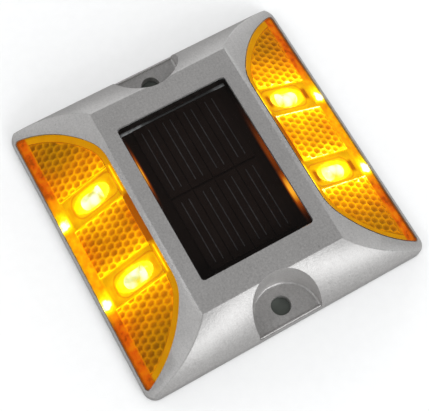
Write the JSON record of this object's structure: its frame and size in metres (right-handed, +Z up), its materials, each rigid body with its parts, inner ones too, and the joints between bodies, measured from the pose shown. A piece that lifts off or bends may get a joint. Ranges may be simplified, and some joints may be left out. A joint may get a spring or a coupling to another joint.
{
  "type": "raised pavement marker",
  "caption": "Square cast aluminium solar road stud with sloping amber LED lenses on two sides, a clear window over solar cells, and an open bolt recess at each end.",
  "frame": {"origin": "centre of the base, on the road surface", "axes": "+Z up out of the road, lenses face +X and -X along the traffic, bolt recesses open towards +Y and -Y"},
  "size_m": [0.1, 0.1, 0.018],
  "materials": {
    "cast_aluminium": "fine sand-cast, clear coated",
    "clear_plastic": "polished clear polycarbonate",
    "amber_lens": "moulded amber polycarbonate",
    "led_amber": "tinted epoxy, lit",
    "seal_rubber": "soft black sealant",
    "solar_cell": "dark anti-reflection coat",
    "busbar": "tinned ribbon",
    "board": "solder mask",
    "panel_back": "black laminate",
    "reflector_plastic": "white moulded",
    "cover_plastic": "moulded, fine texture",
    "steel_screw": "zinc plated",
    "battery_sleeve": "shrink sleeve",
    "nickel": "bright",
    "component": "moulded epoxy",
    "can_metal": "bright can",
    "wire_sleeve": "PVC sleeve"
  },
  "bodies": {
    "root": {"battery_cell": "battery_sleeve", "battery_pad": "seal_rubber", "battery_tabs": "nickel", "battery_wires": "wire_sleeve", "body_casting": "cast_aluminium", "bottom_cover": "cover_plastic", "capacitor": "can_metal", "cell_busbars": "busbar", "cover_gasket": "seal_rubber", "cover_screws": "steel_screw", "diode": "component", "driver_chip": "component", "inductor": "component", "led_board_left": "board", "led_board_right": "board", "led_leads_left": "nickel", "led_leads_right": "nickel", "led_left_far": "led_amber", "led_left_near": "led_amber", "led_right_far": "led_amber", "led_right_near": "led_amber", "led_wires_left": "wire_sleeve", "led_wires_right": "wire_sleeve", "lens_left": "amber_lens", "lens_right": "amber_lens", "lens_seal_left": "seal_rubber", "lens_seal_right": "seal_rubber", "main_board": "board", "panel_board": "panel_back", "panel_frame": "seal_rubber", "reflector_left": "reflector_plastic", "reflector_right": "reflector_plastic", "resistors": "component", "solar_cell_1": "solar_cell", "solar_cell_2": "solar_cell", "solar_cell_3": "solar_cell", "solar_cell_4": "solar_cell", "solar_cell_5": "solar_cell", "solar_cell_6": "solar_cell", "solar_cell_7": "solar_cell", "solar_cell_8": "solar_cell", "solar_window": "clear_plastic", "solar_wires": "wire_sleeve", "transistor": "component", "window_seal": "seal_rubber", "wire_bush_left": "seal_rubber", "wire_bush_right": "seal_rubber"}
  },
  "joints": []
}
